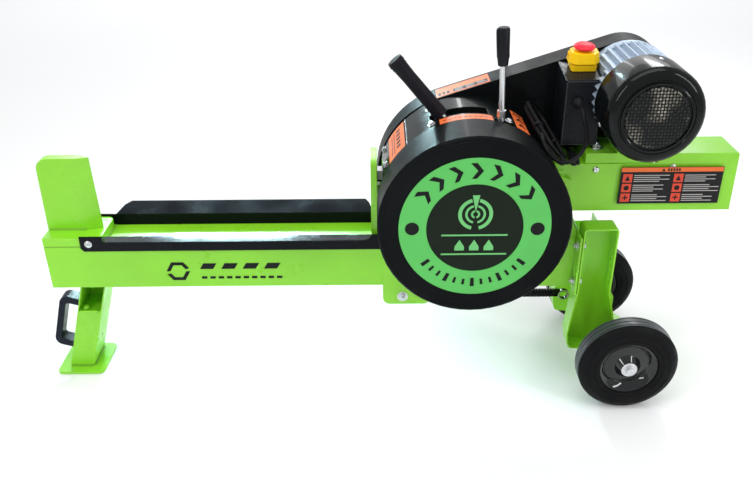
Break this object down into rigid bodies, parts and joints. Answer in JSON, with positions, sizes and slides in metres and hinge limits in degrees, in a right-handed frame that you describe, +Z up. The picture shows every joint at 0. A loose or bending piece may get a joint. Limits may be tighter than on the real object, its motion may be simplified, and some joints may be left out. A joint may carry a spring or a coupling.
{
  "type": "log splitter",
  "caption": "Electric kinetic log splitter: beam with a wedge, sliding rack pusher, belt-driven flywheels, motor, hand levers, push-button switch, front leg and transport wheels.",
  "frame": {"origin": "on the floor, under the middle of the bounding box without the cord", "axes": "+X runs along the beam from the wedge to the motor, +Y away from the operator, +Z up"},
  "size_m": [1.3558, 0.369, 0.7254],
  "materials": {
    "green_powder_coat": "gloss powder coat",
    "black_gloss_paint": "high gloss black",
    "bare_steel": "machined",
    "zinc_plated_steel": "bright zinc plating",
    "grey_cast_iron": "turned casting",
    "cast_aluminium": "satin casting",
    "black_rubber": "matt",
    "black_plastic": "moulded",
    "yellow_plastic": "moulded",
    "red_plastic": "moulded",
    "green_plastic": "moulded",
    "black_cord_sheath": "satin",
    "copper_and_lamination": "stacked laminations"
  },
  "bodies": {
    "frame": {"front_beam": "green_powder_coat", "wedge_base_plate": "green_powder_coat", "splitting_wedge": "green_powder_coat", "front_leg": "green_powder_coat", "foot_plate": "green_powder_coat", "near_side_plate": "green_powder_coat", "far_side_plate": "green_powder_coat", "rear_end_plate": "green_powder_coat", "rear_housing": "green_powder_coat", "near_wheel_leg": "green_powder_coat", "far_wheel_leg": "green_powder_coat", "motor_mount": "green_powder_coat", "near_log_tray": "black_gloss_paint", "far_log_tray": "black_gloss_paint", "near_flywheel_cover": "black_gloss_paint", "front_guard_shell": "black_gloss_paint", "top_guard_shell": "black_gloss_paint", "rear_guard_shell": "black_gloss_paint", "belt_guard": "black_gloss_paint", "belt_guard_lid": "black_gloss_paint", "motor_fan_cowl": "black_gloss_paint", "switch_box": "black_gloss_paint", "spring_anchor_bar": "black_gloss_paint", "handle_pivot_bracket": "black_gloss_paint", "wheel_axle": "bare_steel", "near_axle_bolt": "zinc_plated_steel", "far_axle_bolt": "zinc_plated_steel", "near_bearing": "grey_cast_iron", "far_bearing": "grey_cast_iron", "motor_housing": "cast_aluminium", "motor_end_bell": "cast_aluminium", "drive_belt": "black_rubber", "lift_handle": "black_plastic", "cable_gland": "black_plastic", "mains_plug": "black_plastic", "switch_base": "yellow_plastic", "power_cord": "black_cord_sheath", "cord_tail": "black_cord_sheath", "cord_coil": "black_cord_sheath"},
    "pusher": {"pusher_plate": "green_powder_coat", "pusher_carriage": "green_powder_coat", "gear_rack": "bare_steel"},
    "flywheels": {"pinion_shaft": "bare_steel", "near_flywheel": "grey_cast_iron", "far_flywheel_pulley": "grey_cast_iron"},
    "rotor": {"motor_rotor": "copper_and_lamination", "motor_pulley": "cast_aluminium", "cooling_fan": "black_plastic"},
    "near_wheel": {"near_tyre": "black_rubber", "near_wheel_rim": "black_gloss_paint"},
    "far_wheel": {"far_tyre": "black_rubber", "far_wheel_rim": "black_gloss_paint"},
    "lever": {"operating_lever": "zinc_plated_steel", "lever_grip": "black_plastic"},
    "safety_handle": {"handle_rod": "zinc_plated_steel", "handle_grip": "black_rubber"},
    "flap": {"switch_flap": "yellow_plastic"},
    "mushroom": {"stop_mushroom": "red_plastic"},
    "start_key": {"start_button": "green_plastic"},
    "stop_key": {"stop_button": "red_plastic"}
  },
  "joints": [
    {"name": "pusher_slide", "type": "slide", "parent": "frame", "child": "pusher", "axis": [-1, 0, 0], "range_m": [0, 0.45], "stiffness_N_per_m": 60, "springref_m": -0.25},
    {"name": "flywheel_spin", "type": "hinge", "parent": "frame", "child": "flywheels", "pos_m": [0.1799, 0, 0.3966], "axis": [0, 1, 0], "continuous": true},
    {"name": "rotor_spin", "type": "hinge", "parent": "frame", "child": "rotor", "pos_m": [0.4789, 0, 0.588], "axis": [0, 1, 0], "continuous": true},
    {"name": "near_wheel_spin", "type": "hinge", "parent": "frame", "child": "near_wheel", "pos_m": [0.4899, -0.1525, 0.096], "axis": [0, 1, 0], "continuous": true},
    {"name": "far_wheel_spin", "type": "hinge", "parent": "frame", "child": "far_wheel", "pos_m": [0.4899, 0.1525, 0.096], "axis": [0, 1, 0], "continuous": true},
    {"name": "lever_swing", "type": "hinge", "parent": "frame", "child": "lever", "pos_m": [0.2099, -0.065, 0.5], "axis": [0, 1, 0], "range_deg": [0, 15], "stiffness_Nm_per_rad": 3, "springref_deg": -28.65},
    {"name": "handle_swing", "type": "hinge", "parent": "frame", "child": "safety_handle", "pos_m": [0.1589, -0.022, 0.518], "axis": [0, 1, 0], "range_deg": [0, 24], "stiffness_Nm_per_rad": 3, "springref_deg": -28.65},
    {"name": "flap_hinge", "type": "hinge", "parent": "frame", "child": "flap", "pos_m": [0.3864, 0.05314, 0.64561], "axis": [-1, 0, 0], "range_deg": [0, 70]},
    {"name": "mushroom_press", "type": "slide", "parent": "flap", "child": "mushroom", "axis": [0, 0.1283, -0.9917], "range_m": [0, 0.0022], "stiffness_N_per_m": 700, "springref_m": -0.0015},
    {"name": "start_press", "type": "slide", "parent": "frame", "child": "start_key", "axis": [0, 0.1283, -0.9917], "range_m": [0, 0.002], "stiffness_N_per_m": 500, "springref_m": -0.0015},
    {"name": "stop_press", "type": "slide", "parent": "frame", "child": "stop_key", "axis": [0, 0.1283, -0.9917], "range_m": [0, 0.002], "stiffness_N_per_m": 500, "springref_m": -0.0015}
  ],
  "couplings": [
    {"joint": "rotor_spin", "follows": "flywheel_spin", "ratio": 5}
  ]
}
